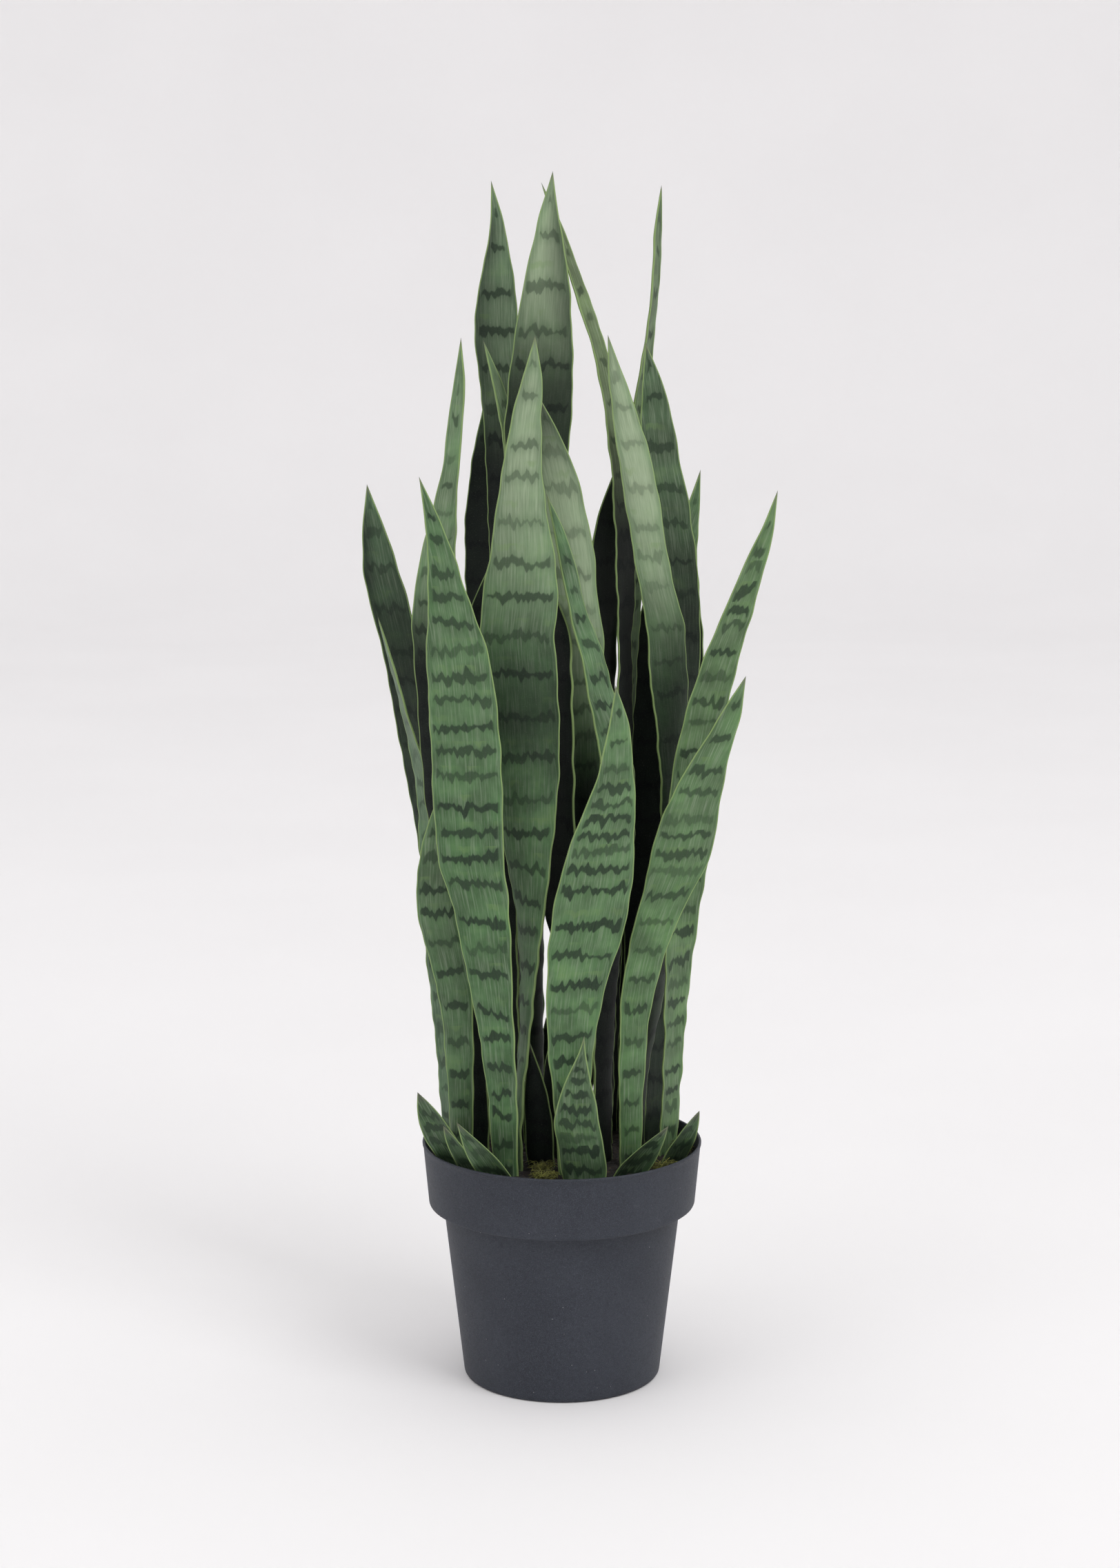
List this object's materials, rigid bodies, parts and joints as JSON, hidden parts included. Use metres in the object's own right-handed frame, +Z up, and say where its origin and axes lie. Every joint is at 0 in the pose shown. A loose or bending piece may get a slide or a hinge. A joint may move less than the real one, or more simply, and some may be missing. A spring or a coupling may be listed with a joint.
{
  "type": "potted snake plant",
  "caption": "Tall clump of upright banded sword-shaped leaves growing from soil in a round tapered nursery pot with a deep collar.",
  "frame": {"origin": "middle of the pot's flat underside, on the surface the plant stands on", "axes": "+Z up along the pot's axis, -Y toward the plant's front, +X toward its right as seen from the front"},
  "size_m": [0.3195, 0.22, 0.941],
  "materials": {
    "pot_plastic": "matte",
    "leaf_green": "satin",
    "soil": "matte",
    "moss": "matte",
    "rhizome": "matte"
  },
  "bodies": {
    "root": {"leaf_back_centre_shaded": "leaf_green", "leaf_back_leaning_narrow": "leaf_green", "leaf_back_left_narrow": "leaf_green", "leaf_back_left_shaded": "leaf_green", "leaf_back_left_tall": "leaf_green", "leaf_back_low_right": "leaf_green", "leaf_back_right_broad": "leaf_green", "leaf_back_right_slender": "leaf_green", "leaf_centre_broad": "leaf_green", "leaf_centre_tallest": "leaf_green", "leaf_far_left": "leaf_green", "leaf_far_left_edge": "leaf_green", "leaf_front_left": "leaf_green", "leaf_front_left_low": "leaf_green", "leaf_front_right_broad": "leaf_green", "leaf_front_right_leaning": "leaf_green", "leaf_inner_centre": "leaf_green", "leaf_inner_folded": "leaf_green", "leaf_inner_left": "leaf_green", "leaf_inner_right_broad": "leaf_green", "leaf_left_wavy": "leaf_green", "leaf_right_dark": "leaf_green", "leaf_right_leaning_tall": "leaf_green", "leaf_right_pale": "leaf_green", "moss_front": "moss", "moss_front_left": "moss", "moss_right": "moss", "moss_right_edge": "moss", "pot": "pot_plastic", "potting_soil": "soil", "rhizome_back": "rhizome", "rhizome_centre": "rhizome", "rhizome_left": "rhizome", "rhizome_right": "rhizome", "shoot_back_centre": "leaf_green", "shoot_front": "leaf_green", "shoot_inner_centre": "leaf_green", "shoot_left_low": "leaf_green", "shoot_left_middle": "leaf_green", "shoot_left_outer": "leaf_green", "shoot_right_low": "leaf_green", "shoot_right_outer": "leaf_green"}
  },
  "joints": []
}
